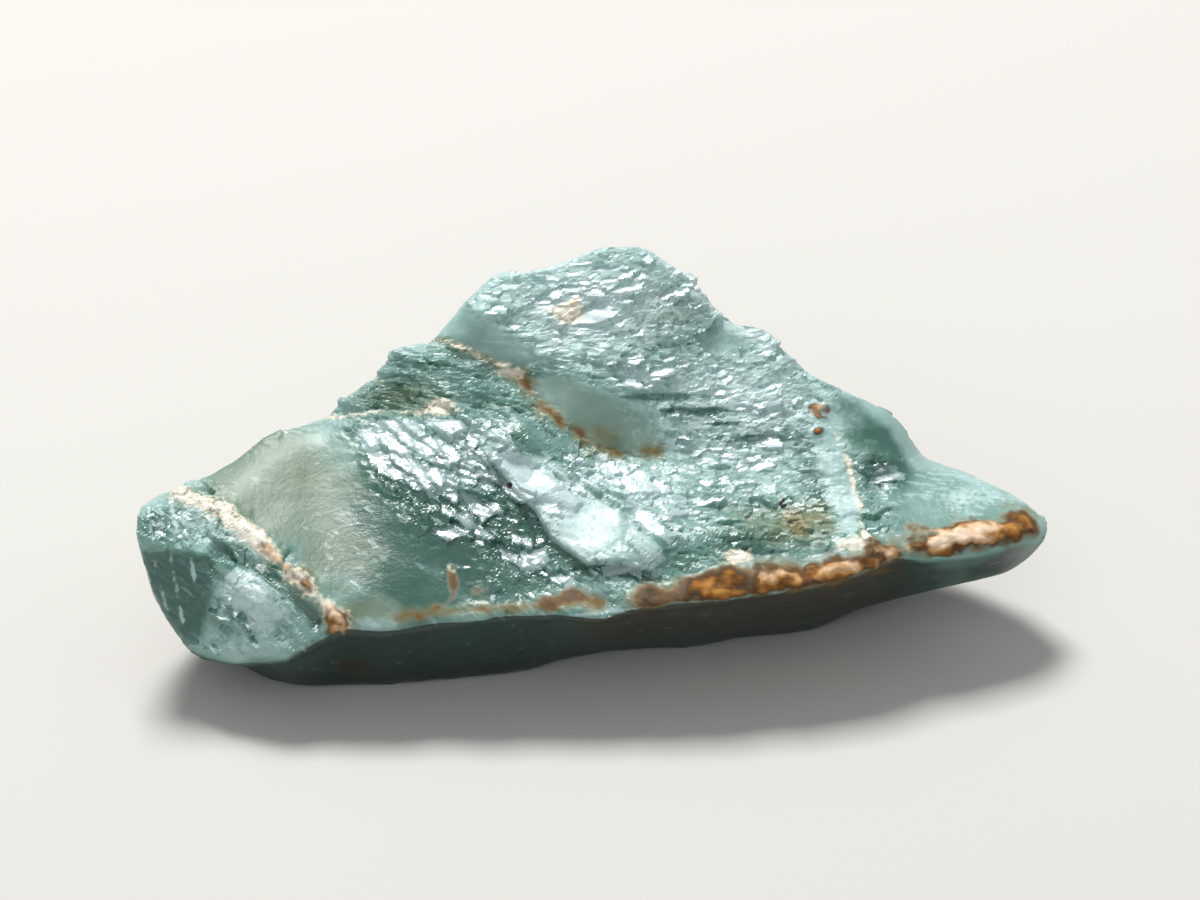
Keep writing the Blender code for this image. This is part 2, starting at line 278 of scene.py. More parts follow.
# The pale crack above the glints, the stained ledge right of it, and the ledge's two smooth hollows.
MIDDLE_CRACK = [(-6.5, 6.5), (-5.2, 6.62), (-4.2, 6.68), (-3.1, 6.66)]
LEDGE_TOP = [(-3.94, 8.49), (-2.93, 8.1), (-1.73, 7.55)]
LEDGE_STAIN = [(-1.73, 7.5), (-1.3, 6.85), (-0.8, 6.35), (-0.2, 5.95), (0.5, 5.72), (1.5, 5.65)]
UPPER_SCOOP = [(-3.8, 8.8), (-3.1, 9.1), (-2.2, 8.7), (-1.25, 7.9), (-1.7, 7.7), (-2.7, 8.1), (-3.6, 8.5)]
LOWER_SCOOP = [
    (-1.5, 7.4), (-0.8, 7.5), (0.2, 7.15), (1.2, 6.7), (1.8, 6.3), (1.5, 5.7), (0.4, 5.8), (-0.4, 6.3),
    (-1.0, 6.9),
]
# The pale flake in the middle, with its crisp lower edge.
FLAKE_EDGE = [
    (-2.45, 5.5), (-1.85, 4.76), (-1.37, 4.28), (-0.96, 3.6), (-0.1, 2.98), (0.7, 3.05), (1.4, 2.85),
]
FLAKE = FLAKE_EDGE + [(1.75, 3.1), (1.15, 3.7), (0.3, 4.4), (-0.5, 5.0), (-1.1, 5.45), (-2.0, 5.65)]
# The clear block, the cream-edged wedge and the frosted tip at the right, and the smooth flank at the left.
RIGHT_BLOCK = [(5.8, 6.9), (6.9, 7.15), (7.5, 6.8), (8.0, 5.7), (7.4, 5.5), (6.2, 5.9), (5.7, 6.4)]
RIGHT_WEDGE = [
    (5.15, 6.3), (5.7, 6.4), (6.1, 5.9), (6.3, 5.2), (6.45, 4.0), (6.35, 3.6), (5.95, 3.8), (5.65, 4.7),
    (5.35, 5.5),
]
LEFT_FLANK = [
    (-9.3, 5.1), (-8.65, 5.6), (-7.5, 6.1), (-6.4, 6.3), (-5.9, 6.0), (-5.1, 4.9), (-4.5, 4.1), (-3.8, 3.3),
    (-3.5, 2.3), (-4.5, 1.6), (-5.8, 1.7), (-6.5, 2.5), (-7.3, 3.2), (-8.0, 3.9), (-8.8, 4.6),
]
LOBE = [
    (7.6, 5.9), (8.2, 5.85), (9.8, 5.35), (10.8, 4.9), (11.3, 4.2), (11.2, 3.6), (9.5, 3.8), (8.0, 3.8),
    (7.3, 4.3), (7.2, 5.0),
]
# The clear dark bands between the level steps, as the middle and the half width and height of an oval.
DARK_BANDS = [
    ((1.7, 7.0), 1.5, 0.13), ((2.6, 6.66), 1.2, 0.16), ((4.0, 6.0), 1.4, 0.13), ((3.4, 6.36), 0.9, 0.08),
]
WEDGE_EDGE = [(5.75, 6.3), (6.05, 5.9), (6.25, 5.2), (6.45, 4.0), (6.6, 3.6)]
PEAK_EDGE = [(1.6, 10.6), (2.4, 9.7), (3.4, 8.9), (4.3, 8.3)]
DARK_SPECKS = [(-2.0, 4.9), (4.6, 4.45), (4.76, 4.0)]
# The rusty crust along the front edge, from left to right, and the brown stain below it.
RIDGE_LINE = [(-4.7, 1.75), (-3.0, 1.9), (-1.73, 1.98), (0.2, 2.05)]
RIDGE_SPOTS = [(-1.13, 2.05), (-0.5, 2.2), (0.1, 2.1)]
RIDGE_MIDDLE = [(1.2, 2.15), (2.2, 2.35), (3.6, 2.65)]
RIDGE_RIGHT = [(4.1, 2.55), (5.1, 2.6), (6.2, 2.82), (7.15, 3.15)]
TIP_CRUST = [(7.75, 3.45), (8.8, 3.55), (9.8, 3.75), (10.4, 4.0)]
FRONT_STAIN = [(0.3, 1.6), (3.6, 1.8), (6.2, 2.2), (8.6, 2.65)]

# Single large treads of the cleavage that mirror the light, also painted pale as a painted highlight.
FACETS = [
    [(-1.75, 3.34), (-1.13, 3.39), (-1.03, 3.08), (-1.35, 2.84), (-1.73, 2.86)],
    [(-0.66, 2.52), (-0.48, 2.68), (-0.32, 2.42), (-0.65, 2.32)],
    [(-5.65, 6.25), (-5.29, 6.34), (-5.03, 5.79), (-5.36, 5.68)],
    [(-4.6, 5.53), (-4.33, 5.62), (-3.72, 4.81), (-3.94, 4.6)],
    [(-5.2, 6.42), (-4.8, 6.5), (-3.62, 5.6), (-3.9, 5.4)],
    [(-4.2, 6.5), (-3.13, 6.52), (-2.95, 6.2), (-3.4, 5.95)],
    [(-2.3, 5.6), (-1.73, 5.6), (-0.8, 4.85), (-0.2, 4.35), (-0.42, 4.15), (-1.25, 4.5), (-2.0, 5.05)],
    [(0.72, 4.25), (1.15, 4.32), (1.92, 3.62), (1.83, 3.38), (1.15, 3.8)],
    [(0.15, 2.95), (1.15, 3.1), (1.2, 2.84), (0.27, 2.72)],
    [(-3.3, 4.2), (-3.0, 4.25), (-2.75, 3.9), (-3.05, 3.85)],
    [(-2.6, 4.45), (-2.3, 4.5), (-2.1, 4.2), (-2.4, 4.15)],
]


def most(*masks):
    """The largest of the masks at each point."""
    return np.maximum.reduce(masks)


def smooth_places(x, rise):
    """1 where the break runs smooth, without chips."""
    return np.clip(most(
        field(LEFT_FLANK, x, rise, 0.3),
        2.0 * patch(x, rise, (-4.8, 2.6), 3.0, 1.5),
        0.45 * field(RIGHT_WEDGE, x, rise, 0.12),
        field(LOBE, x, rise, 0.25),
        field(RIGHT_BLOCK, x, rise, 0.2),
        field(LOWER_SCOOP, x, rise, 0.15),
        0.9 * field(UPPER_SCOOP, x, rise, 0.15),
        1.4 * patch(x, rise, (0.1, 3.8), 1.2, 0.8),
        0.5 * field(LUMP_PANEL, x, rise, 0.1),
    ), 0, 1)


class BrokenFace:
    """Where each point lies on the broken face, and how near it is to an oval, a chain or a ring on it."""

    def __init__(self, places):
        self.x, self.rise = across_face(places)
        self.ragged = cloud(places, 0.7, 3)

    def at(self, centre, wide, high):
        return patch(self.x, self.rise, centre, wide, high)

    def on(self, chain, width):
        return band(chain, self.x, self.rise, width)

    def within(self, corners, soft):
        return field(corners, self.x, self.rise, soft)


def rusty_growth(face, under):
    """The iron-oxide crust with its pale tops, the ochre around it, and the stains that seep out of it. The
    tops are partly a painted highlight; the crust's pores, the ochre's dark end and the stains are partly
    painted shade.
    """
    at, on, ragged, x = face.at, face.on, face.ragged, face.x
    crust = most(
        (0.62 + 0.3 * ragged) * on(RIDGE_MIDDLE, 0.42),
        0.95 * on(RIDGE_RIGHT, 0.58),
        (0.5 + 0.3 * ragged) * on([(2.0, 2.25), (4.1, 2.35)], 0.3),
        (0.75 + 0.3 * ragged) * on([(4.1, 2.35), (5.4, 2.5), (6.4, 2.82), (7.3, 3.2)], 0.3),
        1.2 * on(TIP_CRUST, 0.5) * (1 - 0.35 * ramp(x, 9.7, 10.4)),
        0.75 * on(LOWER_VEIN, 0.26),
        0.95 * at((-6.15, 1.6), 0.4, 0.45),
        (1.5 + 0.6 * ragged) * at((5.63, 6.64), 0.62, 0.34),
        (1.2 + 0.5 * ragged) * at((5.45, 6.2), 0.28, 0.18),
        0.7 * at((5.3, 3.45), 0.7, 0.3),
    )
    ochre = most(
        0.5 * on(RIDGE_LINE, 0.25),
        0.95 * on(RIDGE_SPOTS, 0.42),
        # The ochre's dark brown along the middle of the front edge is partly painted shade.
        1.4 * on(RIDGE_MIDDLE, 0.52),
        1.0 * on(RIDGE_RIGHT, 0.85),
        0.9 * on(TIP_CRUST, 0.75),
        (1.0 + 0.6 * ragged) * on([(-3.42, 2.9), (-3.3, 2.35)], 0.26),
        (0.75 + 0.5 * ragged) * on([(-3.3, 2.35), (-3.5, 2.05), (-4.1, 1.75)], 0.24),
        0.6 * at((-2.7, 2.35), 0.5, 0.25),
        0.7 * at((-0.3, 6.1), 0.5, 0.3),
        (0.5 + 0.5 * ragged) * on(LEDGE_STAIN, 0.24),
        (0.6 + 0.4 * ragged) * at((5.2, 3.6), 1.0, 0.5),
        0.7 * at((7.9, 2.8), 0.8, 0.3),
        0.6 * on(LOWER_VEIN, 0.5),
    )
    # The crust's pale tops are a painted highlight where light falls on its lumps, beside a few cream spots
    # of its own.
    pale_lit_tops = most(
        1.15 * on([(px, py + 0.04) for px, py in TIP_CRUST], 0.42) * (1 - 0.8 * ramp(x, 9.5, 10.0)),
        0.65 * on([(px, py + 0.12) for px, py in RIDGE_RIGHT], 0.4),
        0.8 * at((5.55, 6.7), 0.5, 0.35),
        0.9 * on(LOWER_VEIN, 0.5),
    ) * ramp(crust, 0.25, 0.6)
    pale_lit_tops = most(pale_lit_tops, 1.1 * at((-0.72, 8.92), 0.4, 0.2), 0.9 * on([(-0.45, 9.2), (-0.32, 9.6)], 0.16))
    rust = most(
        (0.75 + 0.4 * ragged) * on(LEDGE_STAIN, 0.5),
        0.8 * at((0.3, 6.1), 1.5, 0.45),
        0.7 * on(LEDGE_TOP, 0.3),
        (1.0 + 0.3 * ragged) * at((5.1, 3.9), 1.3, 1.0),
        0.5 * at((3.9, 4.2), 1.2, 0.6),
        0.8 * on(RIDGE_LINE, 0.35),
        0.8 * on(RIDGE_MIDDLE, 0.75),
        0.85 * on(RIDGE_RIGHT, 0.8),
        0.8 * on(TIP_CRUST, 0.7),
        0.8 * at((8.0, 2.75), 1.0, 0.4),
        0.45 * on(LOWER_VEIN, 0.8),
    ) * (1 - under)
    # Rust stains on the front, painted dark with the front's shade.
    shaded_stain = most(
        1.3 * on(FRONT_STAIN, 0.9) * (1 - 0.8 * ramp(x, 6.0, 8.4)),
        1.2 * on([(3.9, 2.1), (5.2, 2.2), (6.3, 2.5), (7.3, 2.95)], 0.45),
        1.1 * at((-5.7, 0.5), 1.1, 0.35),
    ) * under
    return {
        "rust": rust, "shaded_stain": shaded_stain, "pale_lit_tops": pale_lit_tops,
        "ochre": (ochre + 0.2 * ragged * (ochre > 0)) * (1 - 0.5 * under),
        "crust": (crust + 0.3 * ragged * (crust > 0)) * (1 - 0.75 * under),
    }


def cream_veins(face):
    """The chalky veins and the spots where they come out."""
    at, on, ragged = face.at, face.on, face.ragged
    cream = most(
        0.9 * on(UPPER_VEIN, 0.4),
        0.5 * at((-9.15, 4.15), 1.0, 0.6),
        (0.8 + 0.7 * ragged) * at((-3.42, 2.9), 0.3, 0.26),
        0.8 * on(LOWER_VEIN, 0.42),
        0.6 * on(MIDDLE_CRACK, 0.13),
        0.95 * at((-3.6, 6.78), 0.6, 0.32),
        (0.42 + 0.3 * ragged) * on(LEDGE_TOP, 0.22),
        0.9 * at((-2.0, 7.6), 0.6, 0.22),
        (1.6 + 0.5 * ragged) * at((-0.58, 9.02), 0.55, 0.38),
        1.1 * at((3.5, 3.17), 0.5, 0.3),
        (0.55 + 0.4 * ragged) * on(WEDGE_EDGE, 0.13),
        0.9 * at((6.2, 3.45), 0.7, 0.3),
        0.5 * at((-4.9, 7.4), 0.6, 0.2),
    )
    return {"cream": cream + 0.16 * ragged * (cream > 0)}


def clear_parts(face, bands):
    """The crystal that the eye sees deep into, dark where it is clean and olive where rust has tinted it,
    with painted shade in the lump's cleft and under the flake's edge.
    """
    at, on, within, ragged, x, rise = face.at, face.on, face.within, face.ragged, face.x, face.rise
    deep_and_shade = most(
        0.9 * within(RIGHT_BLOCK, 0.25),
        0.5 * within(UPPER_SCOOP, 0.2),
        bands,
        1.1 * at((7.1, 5.2), 1.0, 0.9),
        0.9 * on([(5.0, 6.0), (5.2, 5.2), (5.5, 4.4)], 0.4),
        1.7 * at((-2.6, 3.5), 3.1, 1.8),
        1.4 * at((-4.8, 4.4), 1.8, 1.6),
        (1.45 + 0.3 * ragged) * at((-4.4, 3.3), 2.6, 2.6),
        0.8 * at((-3.2, 5.6), 2.6, 1.2),
        1.1 * field(LUMP_PANEL, x + 0.14 * ragged, rise + 0.16 * ragged, 0.16),
        # Painted shade under the flake's crisp lower edge and in the lump's cleft.
        1.5 * on([(px - 0.12, py - 0.1) for px, py in FLAKE_EDGE], 0.26),
        1.2 * on(LUMP_CLEFT, 0.26),
        0.9 * at((3.7, 3.5), 1.4, 0.5),
        0.9 * at((-10.2, 4.0), 1.0, 0.7),
        0.6 * on([(-9.0, 1.7), (-8.2, 2.2), (-7.3, 2.4)], 0.3),
    )
    olive = most(
        1.3 * at((-7.6, 4.9), 2.9, 2.2),
        (0.9 + 0.3 * ragged) * at((-6.3, 3.2), 2.2, 2.0),
        1.0 * at((-5.4, 1.9), 1.3, 0.6),
        0.9 * at((4.6, 4.0), 1.9, 0.9),
        0.7 * at((0.6, 5.9), 1.6, 0.7),
        0.45 * within(LOWER_SCOOP, 0.15),
        0.8 * at((-4.8, 7.0), 1.6, 0.8),
        0.6 * at((1.9, 9.0), 1.6, 1.0),
    )
    return {"deep_and_shade": deep_and_shade, "olive": olive}


def cloudy_parts(face):
    """The crystal that is full of fine cracks, and the frost of crushed crystal on it, with painted light on
    faces that lie away from the lamp, along the rim and along the front edge.
    """
    at, on, within, ragged, x, rise = face.at, face.on, face.within, face.ragged, face.x, face.rise
    pale = most(
        1.9 * within(FLAKE, 0.06),
        1.7 * field(RIGHT_WEDGE, x + 0.16 * ragged, rise + 0.1 * ragged, 0.08),
        0.45 * within(UPPER_SCOOP, 0.2),
        # Painted light on the lower scoop, which faces away from the lamp.
        1.4 * within(LOWER_SCOOP, 0.2),
        1.0 * at((1.3, 4.7), 2.4, 1.4),
        # Partly a painted glow along the peak's edge, where light shines through.
        1.3 * on(PEAK_EDGE, 0.8),
        0.25 * at((9.2, 4.7), 2.6, 1.3),
        0.6 * within(LUMP_TOP, 0.25),
        0.4 * within(LUMP_BUMP, 0.25),
        1.0 * at((-8.4, 0.9), 2.4, 0.8),
        1.2 * at((-5.2, 1.7), 1.0, 0.6),
        # Partly painted light on the peak and the steep faces right of it, which lie away from the lamp.
        1.8 * at((0.0, 9.4), 4.2, 2.6),
        1.8 * at((3.4, 6.9), 3.6, 2.4),
        0.7 * at((4.6, 5.3), 2.0, 1.2),
        # Partly a painted glow along the skyline, where light shines through the thin edge.
        1.0 * on(SKYLINE, 0.6),
    )
    frost = most(
        within(LUMP_TOP, 0.2) * (0.6 + 0.5 * ragged),
        within(LUMP_BUMP, 0.2) * (0.46 + 0.5 * ragged),
        0.9 * on([(-10.1, 4.5), (-9.9, 3.7)], 0.14),
        0.8 * on([(-10.6, 4.3), (-10.5, 3.6)], 0.1),
        0.8 * on([(-9.8, 4.3), (-9.65, 3.5)], 0.1),
        0.9 * at((-1.2, 4.9), 1.2, 0.9),
        0.62 * on([(-5.5, 6.1), (-4.2, 5.3), (-3.3, 4.7)], 0.5),
        0.62 * on([(-4.4, 6.3), (-3.2, 5.6), (-2.4, 5.1)], 0.45),
        0.78 * within(FLAKE, 0.06) * (1 - 0.6 * at((0.7, 3.6), 1.1, 0.7)),
        0.9 * at((0.0, 4.9), 1.3, 0.5),
        0.85 * at((1.1, 4.9), 1.9, 1.0),
        0.9 * at((1.3, 7.5), 1.5, 0.7),
        # Partly a painted glow along the peak's edge.
        0.95 * on(PEAK_EDGE, 0.6),
        (0.55 + 0.2 * ragged) * at((9.1, 4.7), 2.8, 1.5),
        0.6 * at((-10.2, 4.0), 1.0, 0.6),
        0.55 * at((6.9, 4.8), 1.2, 0.9),
        0.4 * within(RIGHT_WEDGE, 0.08),
        0.95 * at((0.3, 9.2), 4.4, 2.6),
        0.95 * at((3.4, 6.8), 4.2, 2.6),
        # A painted highlight along the front edge.
        0.9 * on([(-1.25, 1.68), (0.4, 1.85), (1.65, 2.0)], 0.1),
        (0.6 + 0.4 * ragged) * on([(-10.1, 3.2), (-9.8, 1.6)], 0.13),
        (0.55 + 0.4 * ragged) * on([(-10.5, 3.1), (-10.2, 1.9)], 0.12),
        (0.55 + 0.4 * ragged) * on([(-9.6, 3.1), (-9.35, 1.9)], 0.12),
    ) * (1 - 0.9 * on(LUMP_CLEFT, 0.3))
    return {"pale": pale, "frost": frost}


def bright_parts(face, smooth):
    """The treads that mirror the light, the small glints, and the fine level lines. The treads and glints are
    painted pale, partly as a painted highlight.
    """
    at, on, within = face.at, face.on, face.within
    on_chips = most(
        0.36 * at((0.0, 9.2), 4.8, 2.8),
        0.34 * at((2.8, 6.6), 4.6, 2.8),
        0.4 * at((1.2, 4.8), 3.2, 1.5),
        0.34 * at((-3.6, 5.7), 2.6, 1.2),
        0.1 * at((-2.4, 3.6), 2.6, 1.6),
        0.3 * at((4.2, 4.6), 2.6, 1.2),
        0.34 * at((-9.8, 3.9), 1.6, 1.0),
        0.46 * at((-7.9, 2.2), 1.6, 1.0),
        0.2 * at((9.0, 4.7), 2.8, 1.4),
        0.07 * (1 - smooth),
    )
    sparkle = most(
        on_chips * (1 - 0.8 * smooth), 0.3 * at((9.0, 4.8), 2.8, 1.3), 0.06 * at((-5.4, 3.2), 1.9, 2.2),
    )
    tread = most(
        1.2 * at((-5.3, 6.0), 0.7, 0.55),
        1.3 * on([(-5.4, 6.0), (-4.2, 5.2), (-3.4, 4.7)], 0.45),
        1.3 * on([(-4.4, 6.2), (-3.2, 5.6), (-2.4, 5.0)], 0.45),
        1.1 * on([(-3.0, 6.3), (-2.1, 5.9)], 0.4),
        0.85 * on([(-2.2, 5.3), (-1.2, 4.7), (-0.2, 4.2)], 0.42),
        1.5 * at((-1.44, 3.1), 0.5, 0.35),
        1.1 * at((-0.5, 2.5), 0.35, 0.22),
        1.1 * at((1.3, 3.9), 0.85, 0.5),
        0.9 * on([(-0.3, 5.5), (1.0, 4.9), (2.2, 4.2)], 0.6),
        0.9 * on([(0.3, 2.9), (1.5, 2.85)], 0.2),
        0.45 * at((1.4, 7.6), 1.4, 0.6),
        0.3 * at((0.0, 9.3), 3.2, 1.6),
        0.35 * at((3.0, 5.4), 2.2, 1.0),
        0.25 * at((3.4, 7.2), 2.2, 1.4),
        0.18 * at((-2.8, 3.9), 1.8, 1.2),
        0.3 * at((6.9, 4.9), 1.0, 0.7),
    ) * (1 - 0.7 * smooth)
    lines = most(
        1.1 * at((3.4, 6.3), 3.4, 1.2), 0.6 * at((1.6, 8.2), 3.6, 1.6), 0.8 * within(LUMP_PANEL, 0.1),
    )
    return {"sparkle": sparkle, "tread": tread, "lines": lines}


def add_unseen_sides(masks, places, ragged, seen, under):
    """Drifts of pale and deep crystal and thin rusty veins, on the sides that the broken face hides."""
    drift = cloud(places * 0.45 + 40.0, 1.0, 3)
    seam = cloud(places + 90.0, 2.6, 3)
    for name, behind in (
        ("pale", 0.35 + 0.5 * drift),
        ("deep_and_shade", 0.25 - 0.5 * drift),
        ("sparkle", 0.1),
        ("tread", 0.12),
        ("frost", 0.3 + 0.2 * ragged),
        ("olive", 0.1 - 0.6 * seam),
        ("cream", 0.6 * ramp(0.03 - np.abs(seam), 0.0, 0.03)),
        ("rust", 0.8 * ramp(0.12 - np.abs(seam), 0.0, 0.1) * ramp(ragged, -0.2, 0.4)),
    ):
        masks[name] = np.clip((masks[name] + behind * (1 - seen)) * (1 - under), 0, 1)


def paint(places, normals, bearing):
    """How much of each finish every point of the skin has, from 0 to 1.

    The bearing is where the stone's broad shape faces, whatever the steps on it.
    """
    face = BrokenFace(places)
    at, x, ragged = face.at, face.x, face.ragged
    seen = ramp(normals @ FACE_OUT, -0.05, 0.2)
    forward = ramp(-normals[:, 1], 0.2, 0.6)
    below_edge = ramp(np.interp(x, *zip(*FRONT_EDGE)) - face.rise, -0.25, 0.05)
    downward = np.where(bearing[:, 1] > 0, bearing @ LEAN, normals @ LEAN)
    # The undercut front and the underside, which get painted shade.
    under = ramp(-downward, -0.15, 0.15) * most(below_edge, 1 - seen)
    smooth = smooth_places(x, face.rise)
    bands = np.clip(most(*[at(*oval) for oval in DARK_BANDS]) * (1.7 + 1.2 * ragged), 0, 1)
    specks = most(*[at(spot, 0.17, 0.17) for spot in DARK_SPECKS])
    masks = {
        **clear_parts(face, bands), **cloudy_parts(face), **rusty_growth(face, under), **cream_veins(face),
        **bright_parts(face, smooth), "speck": specks,
    }
    masks = {name: np.clip(mask, 0, 1) * (1 if name == "shaded_stain" else seen) for name, mask in masks.items()}
    for name in ("pale", "frost", "sparkle", "tread"):
        masks[name] = masks[name] * (1 - 0.75 * bands)
    add_unseen_sides(masks, places, ragged, seen, under)
    # The thin end lets light through, so the painted shade on its underside is less dark.
    masks["under"] = under * (1 - 0.24 * ramp(x, 6.0, 9.0) * below_edge * forward)
    masks["broken"] = (1 - smooth * seen) * (1 - under)
    return masks


# Chips, steps and crust


def crisp_step(chain, x, rise, height, reach):
    """A sharp step, up on the left of a chain and level again within its reach."""
    signed, past = beside(chain, x, rise)
    return height * ramp(signed, -0.06, 0.06) * np.exp(-np.abs(signed) / reach - (past / 0.25) ** 2)


def level_facet(corners, places, normals, x, rise, flat, height):
    """Turns the ground inside one ring of corners level with the cleavage plane."""
    near = field(corners, x, rise, 0.1) * flat
    middle = places[near > 0.5].mean(axis=0)
    level = (middle - places) @ CLEAVAGE / np.maximum(normals @ CLEAVAGE, 0.4)
    return height + near * (np.clip(level, -FACET_DEPTH, FACET_DEPTH) - height)


def add_relief(places, normals, masks):
    """Heights that break the skin into chips and build up the crust.

    The chips that lie on the cleavage plane go into the tread mask, which paints them pale as a highlight,
    and the crust's painted highlight on its tops keeps to its lumps.
    """
    x, rise = across_face(places)
    facing = ramp(normals @ FACE_OUT, 0.15, 0.5)
    off_foot = ramp(places[:, 2], 0.1, 0.6)
    broken = masks["broken"]
    lumps = cloud(places * (0.7, 1.0, 1.0), 0.5, 3)
    glinting = 0.9 * masks["tread"] + 0.5 * masks["sparkle"]
    wide, on_wide = chips(places, normals, WIDE_CHIP, 0.8 * masks["tread"], 0.07, 3)
    narrow, on_narrow = chips(places, normals, NARROW_CHIP, glinting, 0.12, 5)
    large, _ = chips(places, normals, LARGE_CHIP, 0.1 + 0 * x, 0.07, 11)
    behind = ramp(-(normals @ FACE_OUT), 0.25, 0.6)
    height = np.where(on_wide > 0.5, wide, broken * (0.62 * wide + 0.88 * facing * narrow))
    even_place = patch(x, rise, (-2.9, 3.8), 2.2, 1.6)
    height += (0.4 + 1.0 * behind) * broken * large * (1 - even_place)
    flat = most(*[field(corners, x + 0.05 * lumps, rise - 0.05 * lumps, 0.03) for corners in FACETS]) * facing
    for corners in FACETS:
        height = level_facet(corners, places, normals, x, rise, flat, height)
    on_narrow = on_narrow * (on_wide < 0.5) * ramp(masks["tread"] + masks["sparkle"], 0.1, 0.3)
    masks["tread"] = most(flat, on_wide, on_narrow)
    # The undercut front is nearly smooth, and chips don't show under the crust.
    front = ramp(-(normals @ UNDERCUT_IN), 0.75, 0.95) * (places[:, 2] < 3.2)
    grown = most(masks["crust"], masks["ochre"])
    height = np.clip(height, -CHIP_DEPTH, CHIP_DEPTH) * off_foot
    height = height * (1 - 0.9 * front) * (1 - 0.7 * ramp(grown, 0.2, 0.6))
    height += 0.005 * facing * (1 - broken) * cloud(places, 0.36, 2)
    height += facing * crisp_step(FLAKE_EDGE, x, rise, FLAKE_STEP, 1.6)
    height -= facing * CLEFT_DEPTH * band(LUMP_CLEFT, x, rise, 0.22)
    height += facing * crisp_step(LUMP_EDGE, x, rise, LUMP_STEP, 0.5)
    # The painted highlight on the crust's tops keeps to its high lumps.
    masks["pale_lit_tops"] = masks["pale_lit_tops"] * ramp(lumps, -0.7, 0.25)
    height += masks["crust"] * (0.06 + 0.08 * lumps)
    # Painted shade darkens the crust between its lumps.
    masks["crust"] = masks["crust"] * (0.74 + 0.34 * ramp(lumps, -0.45, 0.45))
    height += ramp(masks["cream"], 0.35, 0.8) * (0.02 + 0.04 * lumps)
    return height


def worn_skin():
    """The stone's skin, with the solid's facets worn round, most of all at its back and on smooth breaks.

    Gives its mesh, its points, and which of them lie on the foot.
    """
    skin = even_skin()
    places = places_of(skin)
    on_foot = places[:, 2] < 0.05
    edges = edges_of(skin)
    rested = relaxed(places, edges, 5)
    outward = normals_of(skin) @ FACE_OUT
    calm = most(
        smooth_places(*across_face(rested)) * ramp(outward, 0.2, 0.5),
        ramp(-outward, 0.0, 0.3) * ramp(rested[:, 2], 0.3, 0.9),
    )
    calm = relaxed(calm[:, None], edges, 8)
    rested += calm * (relaxed(rested, edges, 60) - rested)
    rested[on_foot] = places[on_foot]
    put_places(skin, rested)
    halve_grain(skin, smooth_places(*across_face(rested)))
    places = places_of(skin)
    on_foot = places[:, 2] < 0.01
    rested = relaxed(places, edges_of(skin), 3)
    rested[on_foot] = places[on_foot]
    put_places(skin, rested)
    return skin, rested, on_foot


def straightened(directions, edges, rounds):
    """Directions drawn towards their neighbours', and of length 1 again."""
    directions = relaxed(directions, edges, rounds)
    return directions / np.linalg.norm(directions, axis=1)[:, None]


def make_stone():
    skin, places, on_foot = worn_skin()
    edges = edges_of(skin)
    normals = straightened(normals_of(skin), edges, 8)
    masks = paint(places, normals, straightened(normals, edges, 60))
    height = add_relief(places, normals, masks)
    carved = places + height[:, None] * normals
    carved[:, 2] = np.where(on_foot, 0.0, np.maximum(carved[:, 2], 0.01))
    put_places(skin, carved * METRE)
    for name, mask in masks.items():
        skin.attributes.new(name, "FLOAT", "POINT").data.foreach_set("value", mask.astype(np.float32))
    grain = (grain_of(carved) / CELL).astype(np.float32)
    skin.attributes.new("grain", "FLOAT_VECTOR", "POINT").data.foreach_set("vector", grain.ravel())
    # Bare chips are shaded flat, which keeps their glints crisp.
    bare = masks["broken"] * (1 - ramp(most(masks["crust"], masks["ochre"]), 0.2, 0.5))
    chipped = relaxed(bare[:, None], edges, 2)[:, 0] * ramp(normals @ FACE_OUT, 0.0, 0.3) > 0.6
    skin.polygons.foreach_set("use_smooth", [not all(chipped[list(face.vertices)]) for face in skin.polygons])
    skin.name = "grandidierite_stone"
    stone = bpy.data.objects.new("grandidierite_stone", skin)
    bpy.context.scene.collection.objects.link(stone)
    return stone


# Materials


def colour(code):
    """An sRGB hex value as linear red, green, blue and alpha."""
    parts = [int(code[index:index + 2], 16) / 255 for index in (1, 3, 5)]
    return (*[part / 12.92 if part <= 0.04045 else ((part + 0.055) / 1.055) ** 2.4 for part in parts], 1.0)


def add(tree, kind, settings, inputs):
    """Adds a node with its settings, and fills or links its inputs, by name or number."""
    node = tree.nodes.new("ShaderNode" + kind)
    for name, value in settings.items():
        setattr(node, name, value)
    for key, value in inputs.items():
        if isinstance(value, bpy.types.NodeSocket):
            tree.links.new(value, node.inputs[key])
        else:
            node.inputs[key].default_value = value
    return node


# The long thin steps, drawn out along the grain, are some 1 mm by 0.15 mm in all.
RUNS = (0.12, 0.7, 0.7)
# The real veils inside the crystal are 1 to 3 mm wide.
VEIL_WIDTH = 2.2
# The skin's own roughness is finer than this in the real stone, and is drawn as coarse as it needs to show.
SKIN_BUMP_WIDTH = 0.13
SKIN_BUMP_DEPTH = 0.04
CELL_BUMP_DEPTH = 0.06

